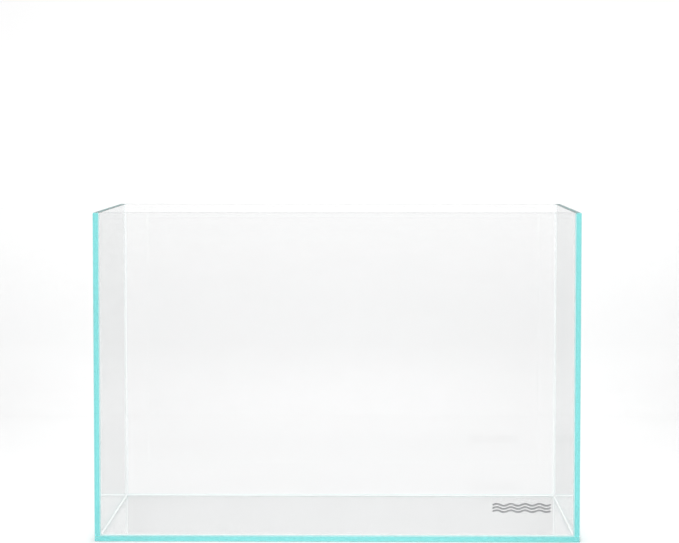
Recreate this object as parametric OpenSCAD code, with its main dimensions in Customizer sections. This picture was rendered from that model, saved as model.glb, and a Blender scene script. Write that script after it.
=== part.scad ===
// Rimless glass aquarium tank: five bonded panes, their silicone joints and a badge.
// The origin is on the ground under the middle of the tank, and the front faces -Y.

/* [Tank] */
// Overall width, side to side
tank_w = 450; // [300:10:600]
// Overall depth, front to back
tank_d = 270; // [180:10:400]
// Overall height, ground to rim
tank_h = 305; // [200:5:450]

/* [Glass] */
// Thickness of every pane
glass_t = 5; // [4:0.5:8]
// Width of the polished bevel along every glass edge
bevel = 0.5; // [0.2:0.1:0.5]

/* [Silicone] */
// Thickness of the bond between two panes
bond_t = 0.5; // [0.3:0.1:0.6]
// How far the tooled bead reaches from an inside corner along each pane
bead_leg = 1.2; // [1.2:0.1:6]

/* [Badge] */
// Length of the badge
badge_l = 54; // [40:1:80]
// Height of the badge
badge_h = 9.3; // [9:0.1:14]
// How far the badge stands off the glass
badge_t = 0.4; // [0.2:0.1:1]
// Gap from the tank's right-hand side to the badge
badge_side_gap = 27; // [10:1:60]
// Height of the badge's lower edge above the ground
badge_rise = 27; // [15:1:60]
// Width of each ripple line
ripple_w = 1.5; // [1:0.1:1.8]
// How far each ripple line swings to either side of its middle
ripple_crest = 0.9; // [0.6:0.1:1.2]

/* [Hidden] */

glass_colour = [0.56, 0.91, 0.90, 0.4];
silicone_colour = [0.93, 0.96, 0.96, 0.7];
chrome_colour = [0.45, 0.46, 0.47];

// The inner faces of the end panes, and of the front and back panes, from the middle.
inner_x = tank_w / 2 - glass_t;
inner_y = tank_d / 2 - glass_t;
// The lower edge of the four walls, which stand on the base pane's bonds.
wall_foot = glass_t + bond_t;

// A bead's face is an arc about a point this far from both of its panes.
bead_centre = 1.5 * bead_leg;
bead_r = sqrt(pow(bead_centre, 2) + pow(bead_centre - bead_leg, 2));

// Each ripple line is a wave of even width with round ends.
ripple_lines = 3;
half_waves = 8;
steps_per_half_wave = 6;
ripple_steps = half_waves * steps_per_half_wave;
ripple_l = badge_l - ripple_w;
ripple_step = ripple_l / ripple_steps;
ripple_pitch = (badge_h - ripple_w - 2 * ripple_crest) / (ripple_lines - 1);
cap_turn = 30;

$fn = 96;

// ---- Glass ----

module bevelled_rectangle(w, h) {
    polygon([
        [bevel, 0], [w - bevel, 0], [w, bevel], [w, h - bevel],
        [w - bevel, h], [bevel, h], [0, h - bevel], [0, bevel]
    ]);
}

// A flat pane between two opposite corners, with all twelve edges bevelled.
module pane(low, high) {
    size = high - low;
    color(glass_colour)
    translate(low)
    intersection() {
        linear_extrude(size.z)
            bevelled_rectangle(size.x, size.y);
        translate([0, size.y, 0]) rotate([90, 0, 0]) linear_extrude(size.y)
            bevelled_rectangle(size.x, size.z);
        rotate([90, 0, 90]) linear_extrude(size.x)
            bevelled_rectangle(size.y, size.z);
    }
}

module base_pane() {
    pane([-tank_w / 2, -tank_d / 2, 0], [tank_w / 2, tank_d / 2, glass_t]);
}

// The front and back panes stand between the end panes.
module front_pane() {
    pane([bond_t - inner_x, -tank_d / 2, wall_foot], [inner_x - bond_t, -inner_y, tank_h]);
}

module back_pane() {
    mirror([0, 1, 0]) front_pane();
}

module left_pane() {
    pane([-tank_w / 2, -tank_d / 2, wall_foot], [-inner_x, tank_d / 2, tank_h]);
}

module right_pane() {
    mirror([1, 0, 0]) left_pane();
}

// ---- Silicone ----

// A joint's cross-section about its inside corner. The bond lies between a pane's face, at
// X = 0, and the edge of the pane that meets it from -Y. The bead fills the inside corner.
module joint_profile() {
    difference() {
        polygon([
            [0, bevel - glass_t], [bond_t, bevel - glass_t], [bond_t, -bevel],
            [bond_t + bevel, 0], [bead_leg, 0], [0, bead_leg]
        ]);
        translate([bead_centre, bead_centre]) circle(bead_r);
    }
}

// A straight joint along the base, under the wall whose inner face is at Y = -inner.
module base_joint_bar(inner, half_length) {
    translate([half_length, -inner, glass_t]) rotate([0, -90, 0])
        linear_extrude(2 * half_length) joint_profile();
}

// The same joint with its bead mitred at both ends, half_bead from the middle.
module base_joint(inner, half_bond, half_bead) {
    past_end = half_bond + bead_leg;
    past_bead = 2 * bead_leg;
    difference() {
        base_joint_bar(inner, half_bond);
        for (end = [0, 1]) mirror([end, 0, 0])
            linear_extrude(tank_h) polygon([
                [half_bead, -inner], [past_end, -inner],
                [past_end, past_bead - inner], [half_bead - past_bead, past_bead - inner]
            ]);
    }
}

module front_base_seam() {
    color(silicone_colour) base_joint(inner_y, inner_x, inner_x);
}

module back_base_seam() {
    mirror([0, 1, 0]) front_base_seam();
}

module left_base_seam() {
    color(silicone_colour) rotate([0, 0, -90])
        base_joint(inner_x, tank_d / 2 - bevel, inner_y);
}

module right_base_seam() {
    mirror([1, 0, 0]) left_base_seam();
}

// An upright joint, cut to sit on the beads of the two base joints that meet there.
module front_left_seam() {
    color(silicone_colour) difference() {
        translate([-inner_x, -inner_y, glass_t])
            linear_extrude(tank_h - bevel - glass_t) joint_profile();
        base_joint_bar(inner_y, inner_x);
        rotate([0, 0, -90]) base_joint_bar(inner_x, inner_y);
    }
}

module front_right_seam() {
    mirror([1, 0, 0]) front_left_seam();
}

module back_left_seam() {
    mirror([0, 1, 0]) front_left_seam();
}

module back_right_seam() {
    mirror([1, 0, 0]) back_left_seam();
}

// ---- Badge ----

function wave_phase(x) = 180 * half_waves * x / ripple_l;
function wave_slope(x) = atan(ripple_crest * PI * half_waves / ripple_l * cos(wave_phase(x)));

// A point half the line's width away from the wave at x, turned from the wave's own direction.
function stroke_point(x, turn) =
    [x, ripple_crest * sin(wave_phase(x))]
    + ripple_w / 2 * [cos(wave_slope(x) + turn), sin(wave_slope(x) + turn)];

// Along the upper edge, round the far end, back along the lower edge and round the near end.
module ripple_line() {
    polygon(concat(
        [for (i = [0 : ripple_steps]) stroke_point(i * ripple_step, 90)],
        [for (turn = [90 - cap_turn : -cap_turn : cap_turn - 90]) stroke_point(ripple_l, turn)],
        [for (i = [ripple_steps : -1 : 0]) stroke_point(i * ripple_step, -90)],
        [for (turn = [-90 - cap_turn : -cap_turn : cap_turn - 270]) stroke_point(0, turn)]
    ));
}

module badge() {
    low_x = tank_w / 2 - badge_side_gap - badge_l + ripple_w / 2;
    low_z = badge_rise + ripple_w / 2 + ripple_crest;
    color(chrome_colour)
    for (line = [0 : ripple_lines - 1])
        translate([low_x, -tank_d / 2, low_z + line * ripple_pitch])
            rotate([90, 0, 0]) linear_extrude(badge_t) ripple_line();
}

base_pane();
front_pane();
back_pane();
left_pane();
right_pane();
front_left_seam();
front_right_seam();
back_left_seam();
back_right_seam();
front_base_seam();
back_base_seam();
left_base_seam();
right_base_seam();
badge();
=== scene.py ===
import math

import bmesh
import bpy
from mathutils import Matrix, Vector, noise


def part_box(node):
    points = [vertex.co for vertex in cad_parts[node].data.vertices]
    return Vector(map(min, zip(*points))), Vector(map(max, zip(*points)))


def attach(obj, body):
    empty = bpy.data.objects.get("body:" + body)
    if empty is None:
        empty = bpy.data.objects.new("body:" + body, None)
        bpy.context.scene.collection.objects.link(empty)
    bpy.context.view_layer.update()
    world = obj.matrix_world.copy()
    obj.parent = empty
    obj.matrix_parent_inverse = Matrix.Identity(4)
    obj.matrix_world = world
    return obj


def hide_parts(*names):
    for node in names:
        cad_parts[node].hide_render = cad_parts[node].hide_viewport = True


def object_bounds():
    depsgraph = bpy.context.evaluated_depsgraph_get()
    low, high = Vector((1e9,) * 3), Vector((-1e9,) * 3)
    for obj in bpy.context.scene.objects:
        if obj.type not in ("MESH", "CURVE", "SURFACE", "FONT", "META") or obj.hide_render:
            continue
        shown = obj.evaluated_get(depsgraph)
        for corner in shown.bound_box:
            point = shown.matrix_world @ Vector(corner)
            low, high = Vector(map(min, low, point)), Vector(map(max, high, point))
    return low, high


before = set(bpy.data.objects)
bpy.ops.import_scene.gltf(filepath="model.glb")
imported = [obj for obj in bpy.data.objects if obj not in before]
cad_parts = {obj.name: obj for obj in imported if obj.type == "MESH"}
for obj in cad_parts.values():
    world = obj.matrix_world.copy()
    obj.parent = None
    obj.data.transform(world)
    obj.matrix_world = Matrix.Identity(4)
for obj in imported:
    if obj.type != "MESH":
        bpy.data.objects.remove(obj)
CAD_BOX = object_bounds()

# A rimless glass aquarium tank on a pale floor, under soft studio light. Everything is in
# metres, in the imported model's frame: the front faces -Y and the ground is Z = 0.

MM = 0.001

# ---- Sizes read from the frame ----

TANK_HI = CAD_BOX[1]
GLASS_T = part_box("base_pane")[1].z
INNER_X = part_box("right_pane")[0].x
INNER_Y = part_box("back_pane")[0].y
WALL_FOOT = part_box("front_pane")[0].z
BOND_T = WALL_FOOT - GLASS_T
SEAM_LO, SEAM_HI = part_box("front_left_seam")
BEAD_LEG = SEAM_HI.x - SEAM_LO.x
ARRIS = TANK_HI.z - SEAM_HI.z
HALF_BOND_Y = TANK_HI.y - ARRIS  # of the bonds under the end panes

# ---- Sizes chosen here ----

AIR = 0.03 * MM  # left round the silicone, so that no two surfaces lie on each other
FLOOR_DROP = 0.2 * MM  # the floor lies this far under the base pane
ARRIS_STEPS = 3  # faces round each polished edge


# ---- Making objects and materials ----

def new_object(name, bm, material):
    """A mesh object from a bmesh, with one material."""
    mesh = bpy.data.meshes.new(name)
    bm.to_mesh(mesh)
    bm.free()
    mesh.materials.append(material)
    obj = bpy.data.objects.new(name, mesh)
    bpy.context.scene.collection.objects.link(obj)
    return obj


def crease(bm):
    """Keeps shading from blending over any edge of a flat face."""
    for edge in bm.edges:
        edge.smooth = all(face.smooth for face in edge.link_faces)


def stand_for(obj, node):
    """The object takes a CAD node's place on the only body."""
    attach(obj, "root")
    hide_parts(node)


def new_material(name):
    material = bpy.data.materials.new(name)
    material.use_nodes = True
    material.node_tree.nodes.clear()
    return material


def add(tree, kind, inputs=None, **settings):
    """A node with its settings, and its inputs set to values or linked to outputs."""
    node = tree.nodes.new(kind)
    for key, value in settings.items():
        setattr(node, key, value)
    for key, value in (inputs or {}).items():
        socket = node.inputs[key]
        if isinstance(value, bpy.types.NodeSocket):
            tree.links.new(value, socket)
        else:
            socket.default_value = value
    return node


def math_node(tree, operation, *values):
    node = add(tree, "ShaderNodeMath", dict(enumerate(values)), operation=operation)
    return node.outputs[0]


def remap(tree, value, low, high, to_low, to_high, smooth=False):
    """The value moved from one range to another, and held inside it."""
    node = add(tree, "ShaderNodeMapRange", {
        "Value": value, "From Min": low, "From Max": high, "To Min": to_low, "To Max": to_high,
    }, interpolation_type="SMOOTHSTEP" if smooth else "LINEAR")
    return node.outputs["Result"]


def mix_colour(tree, factor, a, b):
    node = add(tree, "ShaderNodeMix", {"Factor": factor}, data_type="RGBA")
    for socket, value in ((node.inputs[6], a), (node.inputs[7], b)):
        if isinstance(value, bpy.types.NodeSocket):
            tree.links.new(value, socket)
        else:
            socket.default_value = value
    return node.outputs[2]


def noise_texture(tree, scale, stretch=(1, 1, 1), detail=2.0):
    """Noise over the piece's own coordinates, drawn out along some of its axes."""
    place = add(tree, "ShaderNodeTexCoord").outputs["Object"]
    mapped = add(tree, "ShaderNodeMapping", {"Vector": place, "Scale": stretch}).outputs[0]
    return add(tree, "ShaderNodeTexNoise",
               {"Vector": mapped, "Scale": scale, "Detail": detail}).outputs["Fac"]


# ---- Materials ----

def glass_material():
    """Low-iron glass: clear through its thickness, cyan along its length."""
    material = new_material("clear_glass")
    tree = material.node_tree
    edge = add(tree, "ShaderNodeAttribute", attribute_name="polished_edge").outputs["Fac"]
    polish = noise_texture(tree, 900)
    smudge = noise_texture(tree, 9, detail=4.0)
    roughness = add(tree, "ShaderNodeMix", {
        "Factor": edge,
        "A": remap(tree, smudge, 0.5, 0.8, 0.0, 0.03, True),
        "B": remap(tree, polish, 0.3, 0.7, 0.14, 0.2),
    }).outputs[0]
    colour = mix_colour(tree, edge, (0.957, 0.949, 0.95, 1), (0.41, 0.812, 0.813, 1))
    shader = add(tree, "ShaderNodeBsdfPrincipled", {
        "Base Color": colour, "Roughness": roughness, "IOR": 1.52, "Transmission Weight": 1.0,
    })
    inside = add(tree, "ShaderNodeVolumeAbsorption",
                 {"Color": (0.0, 0.89, 0.88, 1), "Density": 1.8})
    add(tree, "ShaderNodeOutputMaterial",
        {"Surface": shader.outputs[0], "Volume": inside.outputs[0]})
    return material


def silicone_material():
    """Cured clear sealant: cloudy enough to show as a pale line, and tinted in the bonds by the
    glass on both sides."""
    material = new_material("clear_silicone")
    tree = material.node_tree
    tint = add(tree, "ShaderNodeAttribute", attribute_name="glass_tint").outputs["Fac"]
    cloud = noise_texture(tree, 160, detail=3.0)
    colour = mix_colour(tree, cloud, (0.935, 0.955, 0.955, 1), (0.955, 0.97, 0.97, 1))
    shader = add(tree, "ShaderNodeBsdfPrincipled", {
        "Base Color": mix_colour(tree, tint, colour, (0.26, 0.93, 0.92, 1)),
        "Roughness": remap(tree, cloud, 0.3, 0.7, 0.16, 0.28), "IOR": 1.41,
        "Transmission Weight": 0.05,
    })
    add(tree, "ShaderNodeOutputMaterial", {"Surface": shader.outputs[0]})
    return material


def chrome_material():
    """Plated chrome with a fine satin grain, and a painted reflection in its colour: bright along
    its crest and painted dark down its sloping sides.
    """
    material = new_material("badge_chrome")
    tree = material.node_tree
    flank_painted_reflection = add(tree, "ShaderNodeAttribute", attribute_name="flank_painted_reflection").outputs["Fac"]
    grain = noise_texture(tree, 1500, (0.2, 1, 1), 3.0)
    crest = mix_colour(tree, grain, (0.46, 0.47, 0.48, 1), (0.62, 0.63, 0.64, 1))
    # The base colour is painted dark down the stroke's sloping sides, as a painted reflection.
    shader = add(tree, "ShaderNodeBsdfPrincipled", {
        "Base Color": mix_colour(tree, flank_painted_reflection, crest, (0.07, 0.072, 0.076, 1)),
        "Metallic": 1.0, "Roughness": remap(tree, grain, 0.3, 0.7, 0.10, 0.22),
    })
    add(tree, "ShaderNodeOutputMaterial", {"Surface": shader.outputs[0]})
    return material


# ---- Glass ----

def in_a_joint(point):
    """Whether a point is inside the tank's outer faces and below its rim."""
    return (abs(point.x) < TANK_HI.x - ARRIS and abs(point.y) < TANK_HI.y - ARRIS
            and GLASS_T < point.z < TANK_HI.z - ARRIS)


def pane(node, material):
    """A flat pane with its polished edges marked. Its arrises are rounded, apart from those
    that a bead fills, which don't show."""
    lo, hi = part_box(node)
    size, middle = hi - lo, (lo + hi) / 2
    bm = bmesh.new()
    bmesh.ops.create_cube(bm, size=1)
    for vert in bm.verts:
        vert.co = Vector(c * s for c, s in zip(vert.co, size)) + middle
    open_edges = [edge for edge in bm.edges
                  if not in_a_joint((edge.verts[0].co + edge.verts[1].co) / 2)]
    bmesh.ops.bevel(bm, geom=open_edges, offset=ARRIS, segments=ARRIS_STEPS, profile=0.5,
                    affect="EDGES", clamp_overlap=False)
    across = min(range(3), key=lambda axis: size[axis])
    mark = bm.faces.layers.float.new("polished_edge")
    for face in bm.faces:
        flat = abs(face.normal[across]) > 0.99
        rim_arris = 0.01 < face.normal.z < 0.99
        face[mark] = 0.0 if flat or rim_arris else 1.0
    obj = new_object(node + "_glass", bm, material)
    stand_for(obj, node)


# ---- Silicone ----

ARC_STEPS = 8
BEAD_WANDER = 0.05 * MM
ARC_FROM = 6  # the first point of the profile that is on the bead's open face
BEAD_CENTRE = 1.5 * BEAD_LEG
BEAD_R = math.hypot(BEAD_CENTRE, BEAD_CENTRE - BEAD_LEG)


def arc_height(distance):
    """How far a bead stands off one pane, this far from the other."""
    if distance > BEAD_LEG:
        return 0.0
    return BEAD_CENTRE - math.sqrt(BEAD_R ** 2 - (BEAD_CENTRE - distance) ** 2)


def joint_profile():
    """The joint's cross-section, as (off, along, arc) points about its inside corner. off is
    the distance off the pane that runs on, along is the distance past the face of the pane
    that ends there, and arc is 0 to 1 along the bead's open face, or None elsewhere."""
    points = [
        (AIR, AIR, None), (AIR, -AIR, None), (AIR, ARRIS - GLASS_T, None),
        (BOND_T - AIR, ARRIS - GLASS_T, None), (BOND_T - AIR, -AIR, None),
        (BOND_T - AIR, AIR, None),
    ]
    for step in range(ARC_STEPS + 1):
        turn = step / ARC_STEPS
        along = BEAD_LEG * turn
        points.append((max(arc_height(along), AIR), max(along, AIR), turn))
    return points


PROFILE = joint_profile()


def tooled(point, length, seed):
    """A profile point with the slight unevenness of a hand-drawn bead."""
    off, along, arc = point
    if arc is None:
        return off, along
    swell = noise.noise(Vector((length * 55, arc * 0.8, seed * 7.3)))
    swell += 0.5 * noise.noise(Vector((length * 210, arc * 1.6, seed * 3.1)))
    push = BEAD_WANDER * swell
    if arc == 0.0:
        return off + push, along
    if arc == 1.0:
        return off, along + push
    return off + push * 0.7, along + push * 0.7


def sweep(name, stations, bond_tint, material):
    """A closed tube through rings of points, each in the order of the profile's."""
    bm = bmesh.new()
    tint = bm.faces.layers.float.new("glass_tint")
    rings = [[bm.verts.new(point) for point in ring] for ring in stations]
    count = len(rings[0])
    for ring, following in zip(rings, rings[1:]):
        for i in range(count):
            j = (i + 1) % count
            face = bm.faces.new((ring[i], ring[j], following[j], following[i]))
            face.smooth = i >= ARC_FROM and j >= ARC_FROM
            face[tint] = 0.0 if i >= ARC_FROM - 1 else bond_tint
    for end in (rings[0], rings[-1]):
        bm.faces.new(end[1:5])[tint] = bond_tint
        bm.faces.new((end[0], end[1], end[4], end[5]))
        bm.faces.new(end[:1] + end[5:])
    bmesh.ops.remove_doubles(bm, verts=bm.verts, dist=AIR / 10)
    bmesh.ops.recalc_face_normals(bm, faces=bm.faces)
    crease(bm)
    return new_object(name, bm, material)


SEAM_STEP = 4 * MM
OPEN_TINT = 0.18  # how far a bond takes the glass's colour
END_TINT = 1.0  # the same under the end panes, where a bond's end shows between two cyan edges


def upright_seam(node, side, end, seed, material):
    """A joint up one corner. side is -1 left or 1 right, and end is -1 front or 1 back."""
    top = SEAM_HI.z
    steps = round((top - WALL_FOOT) / SEAM_STEP)
    stations = []
    for step in range(steps + 1):
        ring = []
        for point in PROFILE:
            off, along = tooled(point, step * SEAM_STEP, seed)
            foot = WALL_FOOT
            if along > 0:
                foot = GLASS_T + AIR + max(arc_height(off), arc_height(along))
            height = foot + (top - foot) * step / steps
            ring.append((side * (INNER_X - off), end * (INNER_Y - along), height))
        stations.append(ring)
    obj = sweep(node + "_silicone", stations, OPEN_TINT, material)
    stand_for(obj, node)


def base_seam(node, along_x, end, half_bond, half_bead, seed, material):
    """A joint along the base, its bead mitred at both ends."""
    inner = INNER_Y if along_x else INNER_X
    steps = round(2 * half_bead / SEAM_STEP)

    def place(off, along, run):
        across = end * (inner - along)
        height = GLASS_T + off
        return (run, across, height) if along_x else (across, run, height)

    def bead_ring(t):
        ring = []
        for point in PROFILE:
            off, along = tooled(point, t * half_bead, seed)
            reach = half_bead - max(along, 0.0) - AIR
            ring.append(place(off, along, t * reach))
        return ring

    def bond_ring(run):
        corners = PROFILE[1:5]
        ring = corners[:1] + corners + corners[-1:] * (len(PROFILE) - 5)
        return [place(off, along, run) for off, along, _ in ring]

    stations = [bead_ring(2 * step / steps - 1) for step in range(steps + 1)]
    if half_bond > half_bead:
        reach = half_bead - AIR
        stations = ([bond_ring(-half_bond), bond_ring(-reach)] + stations
                    + [bond_ring(reach), bond_ring(half_bond)])
    obj = sweep(node + "_silicone", stations, OPEN_TINT if along_x else END_TINT, material)
    stand_for(obj, node)


# ---- Badge ----

# The first four are the CAD's own.
RIPPLE_W = 1.5 * MM
RIPPLE_CREST = 0.9 * MM
RIPPLE_LINES = 3
HALF_WAVES = 8
HALF_WAVE_STEPS = 12
CAP_STEPS = 8
BADGE_GAP = 0.02 * MM  # between the badge's back and the glass
# The stroke's cross-section: how far in from its side, how far up its thickness, and how dark its
# painted reflection is there.
STROKE_LEVELS = (
    (0.0, 0.0, 1.0), (0.0, 0.25, 1.0), (0.07, 0.5, 1.0), (0.2, 0.74, 0.9), (0.38, 0.9, 0.45),
    (0.6, 0.975, 0.05), (0.85, 1.0, 0.0),
)


def ripple_outline(length, half_width):
    """Points along a ripple line's upper side, round its far end, back and round the near end."""
    steps = HALF_WAVES * HALF_WAVE_STEPS

    def beside(step, turn):
        phase = math.pi * HALF_WAVES * step / steps
        slope = math.atan(RIPPLE_CREST * math.pi * HALF_WAVES / length * math.cos(phase))
        return (length * step / steps + half_width * math.cos(slope + turn),
                RIPPLE_CREST * math.sin(phase) + half_width * math.sin(slope + turn))

    quarter = math.pi / 2
    caps = [quarter - math.pi * i / CAP_STEPS for i in range(1, CAP_STEPS)]
    return ([beside(step, quarter) for step in range(steps + 1)]
            + [beside(steps, turn) for turn in caps]
            + [beside(step, -quarter) for step in range(steps, -1, -1)]
            + [beside(0, turn - math.pi) for turn in caps])


def badge(material):
    """Three ripple lines with rounded faces, each a closed relief."""
    lo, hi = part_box("badge")
    back = hi.y - BADGE_GAP
    thickness = back - lo.y
    length = hi.x - lo.x - RIPPLE_W
    pitch = (hi.z - lo.z - RIPPLE_W - 2 * RIPPLE_CREST) / (RIPPLE_LINES - 1)
    bm = bmesh.new()
    # Per vertex, how dark the chrome's painted reflection is.
    flank_painted_reflection = bm.verts.layers.float.new("flank_painted_reflection")
    for line in range(RIPPLE_LINES):
        middle = lo.z + RIPPLE_W / 2 + RIPPLE_CREST + line * pitch
        rings = []
        for inset, rise, dark in STROKE_LEVELS:
            ring = []
            for x, z in ripple_outline(length, RIPPLE_W / 2 * (1 - inset)):
                place = (lo.x + RIPPLE_W / 2 + x, back - thickness * rise, middle + z)
                ring.append(bm.verts.new(place))
                ring[-1][flank_painted_reflection] = dark
            rings.append(ring)
        for ring, following in zip(rings, rings[1:]):
            for i in range(len(ring)):
                j = (i + 1) % len(ring)
                bm.faces.new((ring[i], ring[j], following[j], following[i])).smooth = True
        bm.faces.new(rings[0])
        bm.faces.new(rings[-1])
    bmesh.ops.recalc_face_normals(bm, faces=bm.faces)
    crease(bm)
    obj = new_object("ripple_badge", bm, material)
    stand_for(obj, "badge")


# ---- Stage, light and camera ----

FLOOR_HALF = 0.98  # from the middle of the floor to the upright part of the backdrop
SQUARENESS = 5.0  # of the floor's plan: 2 is a circle, and more is squarer
SWEEP_R = 0.09  # the curve that joins the floor to the backdrop
SWEEP_STEPS = 10
RISE_KEPT, RISE_END = 0.12, 0.36  # the backdrop is solid up to here, and gone by here
ROUND_STEPS = 128

BACKDROP_GLOW = 1.11  # straight behind the tank, from each side
SIDE_FALL = 0.065  # light lost, and shade painted on the paper, by SIDE_REACH to either side of there
SIDE_REACH = 0.46
SIDE_CAP = 1.05  # past this many times SIDE_REACH, no more is lost
BACKDROP_AWAY = 3.49  # from the camera to the backdrop behind the tank
FOOT_FALL, FOOT_SIDE_FALL = 0.005, 0.06  # painted shade along the backdrop's foot, and there to the sides
RISE = 0.09  # painted light added towards the foot of the backdrop
PAINTED_LIGHT_POOL = 0.09  # a painted pool of light added under the middle of the tank
REFLECTED = 0.93  # the room as glass reflects it; the paper is also painted darker by it where seen in a reflection
FILL = 1.38  # what falls on anything matt


def mirrored(tree):
    """1 for light that reaches the eye by a single reflection, and otherwise 0."""
    path = add(tree, "ShaderNodeLightPath")
    once = math_node(tree, "COMPARE", path.outputs["Glossy Depth"], 1.0, 0.5)
    matt = math_node(tree, "GREATER_THAN", path.outputs["Diffuse Depth"], 0.5)
    return math_node(tree, "MULTIPLY", once, math_node(tree, "SUBTRACT", 1.0, matt))


def side_fall(tree, place, is_direction=False):
    """How far a point or a direction is from straight ahead, squared, as 1 at SIDE_REACH to
    either side and hardly more beyond. It is the same from the front, the back and both sides."""
    parts = add(tree, "ShaderNodeSeparateXYZ", {0: place}).outputs
    x, y = (math_node(tree, "ABSOLUTE", parts[axis]) for axis in ("X", "Y"))
    aside, ahead = math_node(tree, "MINIMUM", x, y), math_node(tree, "MAXIMUM", x, y)
    reach = SIDE_REACH
    if is_direction:
        aside = math_node(tree, "DIVIDE", aside, math_node(tree, "MAXIMUM", ahead, 0.001))
        reach = SIDE_REACH / BACKDROP_AWAY
    aside = math_node(tree, "MINIMUM", math_node(tree, "DIVIDE", aside, reach), SIDE_CAP)
    return math_node(tree, "MULTIPLY", aside, aside)


def painted_paper_light(tree, place, away):
    """The painted light and shade in the paper's colour from place to place: painted shade to the
    sides and along the foot, painted light towards the foot, a painted pool of light under the
    middle of the tank, and painted shade where the paper is seen in a single reflection. away is
    the distance past its foot.
    """
    side = side_fall(tree, place)
    foot = math_node(tree, "MULTIPLY", remap(tree, away, -0.62, -0.02, 0.0, 1.0, True),
                     remap(tree, away, 0.0, 0.07, 1.0, 0.0, True))
    at_foot = math_node(tree, "MULTIPLY_ADD", side, FOOT_SIDE_FALL, FOOT_FALL)
    lost = math_node(tree, "MULTIPLY_ADD", at_foot, foot,
                     math_node(tree, "MULTIPLY", side, SIDE_FALL))
    # Painted shade: the paper's colour is darker where it is seen in a single reflection.
    painted_reflection_dim = add(tree, "ShaderNodeMix",
              {"Factor": mirrored(tree), "A": 1.0, "B": REFLECTED / BACKDROP_GLOW}).outputs[0]
    light = math_node(tree, "MULTIPLY", math_node(tree, "SUBTRACT", 1.0, lost), painted_reflection_dim)
    # Painted light: brighter towards the backdrop's foot, and a painted pool of light under the
    # tank's middle.
    painted_gain = math_node(tree, "ADD", remap(tree, away, -0.4, 0.03, 0.0, RISE, True),
                       remap(tree, away, -0.80, -0.75, PAINTED_LIGHT_POOL, 0.0))
    return math_node(tree, "ADD", light, painted_gain)


def sweep_material():
    """Pale matt paper, with painted light and shade in its colour, that fades out at its top and
    isn't there from behind.
    """
    material = new_material("backdrop")
    tree = material.node_tree
    place = add(tree, "ShaderNodeTexCoord").outputs["Object"]
    away = add(tree, "ShaderNodeAttribute", attribute_name="away").outputs["Fac"]
    mottle = noise_texture(tree, 3, detail=3.0)
    colour = mix_colour(tree, mottle, (0.790, 0.792, 0.792, 1), (0.803, 0.804, 0.804, 1))
    # The paper's colour is scaled by its painted light and shade.
    colour = add(tree, "ShaderNodeVectorMath",
                 {0: colour, "Scale": painted_paper_light(tree, place, away)},
                 operation="SCALE").outputs[0]
    paper = add(tree, "ShaderNodeBsdfDiffuse", {"Color": colour})
    clear = add(tree, "ShaderNodeBsdfTransparent")
    height = add(tree, "ShaderNodeSeparateXYZ", {0: place}).outputs["Z"]
    kept = remap(tree, height, RISE_KEPT, RISE_END, 1.0, 0.0, True)
    behind = add(tree, "ShaderNodeNewGeometry").outputs["Backfacing"]
    kept = math_node(tree, "MULTIPLY", kept, math_node(tree, "SUBTRACT", 1.0, behind))
    shader = add(tree, "ShaderNodeMixShader",
                 {0: kept, 1: clear.outputs[0], 2: paper.outputs[0]})
    add(tree, "ShaderNodeOutputMaterial", {"Surface": shader.outputs[0]})
    return material


def sweep_profile():
    """(half-width, height, distance past the foot of the backdrop) from the middle outwards."""
    flat = FLOOR_HALF - SWEEP_R
    quarter = SWEEP_R * math.pi / 2
    rings = [(half, 0.0, half - flat - quarter / 2) for half in (0.05, 0.35, 0.65, flat)]
    for step in range(1, SWEEP_STEPS + 1):
        turn = math.pi / 2 * step / SWEEP_STEPS
        rings.append((flat + SWEEP_R * math.sin(turn), SWEEP_R * (1 - math.cos(turn)),
                      SWEEP_R * turn - quarter / 2))
    rings.append((FLOOR_HALF, RISE_END, RISE_END - SWEEP_R + quarter / 2))
    return rings


def studio_floor():
    """A pale floor that curves up into a low backdrop all round."""
    bm = bmesh.new()
    away = bm.verts.layers.float.new("away")
    rings = []
    for half, height, distance in sweep_profile():
        ring = []
        for step in range(ROUND_STEPS):
            turn = math.tau * step / ROUND_STEPS
            x, y = (math.copysign(abs(part) ** (2 / SQUARENESS), part)
                    for part in (math.cos(turn), math.sin(turn)))
            vert = bm.verts.new((half * x, half * y, height - FLOOR_DROP))
            vert[away] = distance
            ring.append(vert)
        rings.append(ring)
    bm.faces.new(rings[0])
    for inner, outer in zip(rings, rings[1:]):
        for i in range(ROUND_STEPS):
            j = (i + 1) % ROUND_STEPS
            bm.faces.new((inner[i], outer[i], outer[j], inner[j])).smooth = True
    new_object("backdrop", bm, sweep_material())


def reflected_room(tree, up):
    """The room as a single reflection shows it: grey and darker upwards, with a dark band just
    above the horizon, a bright patch overhead and less light from below."""
    room = remap(tree, up, 0.2, 0.7, REFLECTED, REFLECTED - 0.42, True)
    band = math_node(tree, "MULTIPLY", remap(tree, up, 0.0, 0.015, 0.0, -0.48, True),
                     remap(tree, up, 0.10, 0.14, 1.0, 0.0, True))
    overhead = remap(tree, up, 0.80, 0.93, 0.0, 0.9, True)
    below = remap(tree, up, -0.6, -0.2, -0.3, 0.0, True)
    return math_node(tree, "ADD", math_node(tree, "ADD", room, band),
                     math_node(tree, "ADD", overhead, below))


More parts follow.
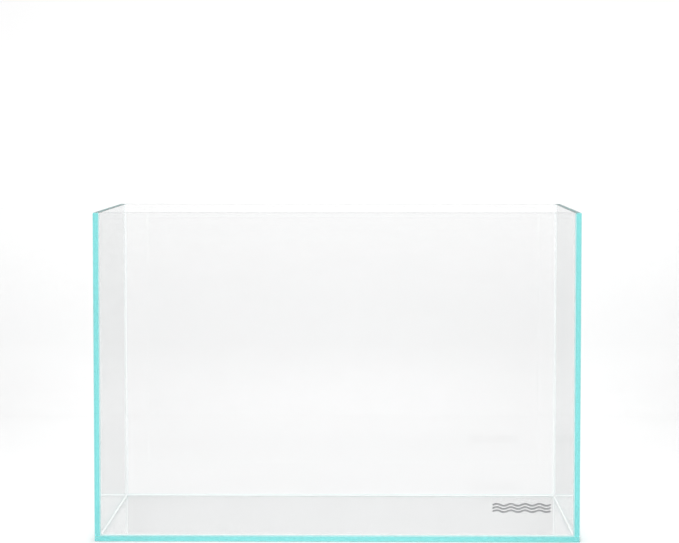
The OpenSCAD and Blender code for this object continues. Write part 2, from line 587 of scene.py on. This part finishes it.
def studio_light():
    """Soft white light all round, brightest straight ahead, and a greyer room for gloss."""
    world = bpy.data.worlds.new("studio")
    bpy.context.scene.world = world
    world.use_nodes = True
    world.cycles.sampling_method = "NONE"
    tree = world.node_tree
    tree.nodes.clear()
    way = add(tree, "ShaderNodeTexCoord").outputs["Generated"]
    up = add(tree, "ShaderNodeSeparateXYZ", {0: way}).outputs["Z"]
    high = remap(tree, up, 0.0, 0.05, 0.0, 0.05, True)
    lost = math_node(tree, "MULTIPLY_ADD", side_fall(tree, way, True), SIDE_FALL, high)
    glow = math_node(tree, "SUBTRACT", BACKDROP_GLOW, lost)
    path = add(tree, "ShaderNodeLightPath")
    matt = math_node(tree, "GREATER_THAN", path.outputs["Diffuse Depth"], 0.5)
    strength = add(tree, "ShaderNodeMix", {
        "Factor": mirrored(tree), "A": glow, "B": reflected_room(tree, up),
    }).outputs[0]
    strength = add(tree, "ShaderNodeMix",
                   {"Factor": matt, "A": strength, "B": FILL}).outputs[0]
    light = add(tree, "ShaderNodeBackground", {"Color": (1, 1, 1, 1), "Strength": strength})
    add(tree, "ShaderNodeOutputWorld", {"Surface": light.outputs[0]})


def camera():
    data = bpy.data.cameras.new("camera")
    data.sensor_width = 36
    data.lens = 136.9
    data.shift_y = 0.042
    data.clip_start, data.clip_end = 0.05, 50
    obj = bpy.data.objects.new("camera", data)
    obj.location = (0.0297, -2.5092, 0.3854)
    obj.rotation_euler = (math.radians(90 - 3.874), 0, math.radians(0.659))
    bpy.context.scene.collection.objects.link(obj)
    bpy.context.scene.camera = obj


def show_glass_truly():
    """Enough bounces for light that runs along a pane, and whites that come out white."""
    scene = bpy.context.scene
    scene.view_settings.view_transform = "Standard"
    scene.cycles.max_bounces = 48
    scene.cycles.transmission_bounces = 48
    scene.cycles.glossy_bounces = 48
    scene.cycles.diffuse_bounces = 12
    scene.cycles.blur_glossy = 0.0


# ---- The scene ----

glass = glass_material()
silicone = silicone_material()
chrome = chrome_material()

for name in ("base_pane", "front_pane", "back_pane", "left_pane", "right_pane"):
    pane(name, glass)

upright_seam("front_left_seam", -1, -1, 1, silicone)
upright_seam("front_right_seam", 1, -1, 2, silicone)
upright_seam("back_left_seam", -1, 1, 3, silicone)
upright_seam("back_right_seam", 1, 1, 4, silicone)
base_seam("front_base_seam", True, -1, INNER_X, INNER_X, 5, silicone)
base_seam("back_base_seam", True, 1, INNER_X, INNER_X, 6, silicone)
base_seam("left_base_seam", False, -1, HALF_BOND_Y, INNER_Y, 7, silicone)
base_seam("right_base_seam", False, 1, HALF_BOND_Y, INNER_Y, 8, silicone)

badge(chrome)

studio_floor()
studio_light()
camera()
show_glass_truly()
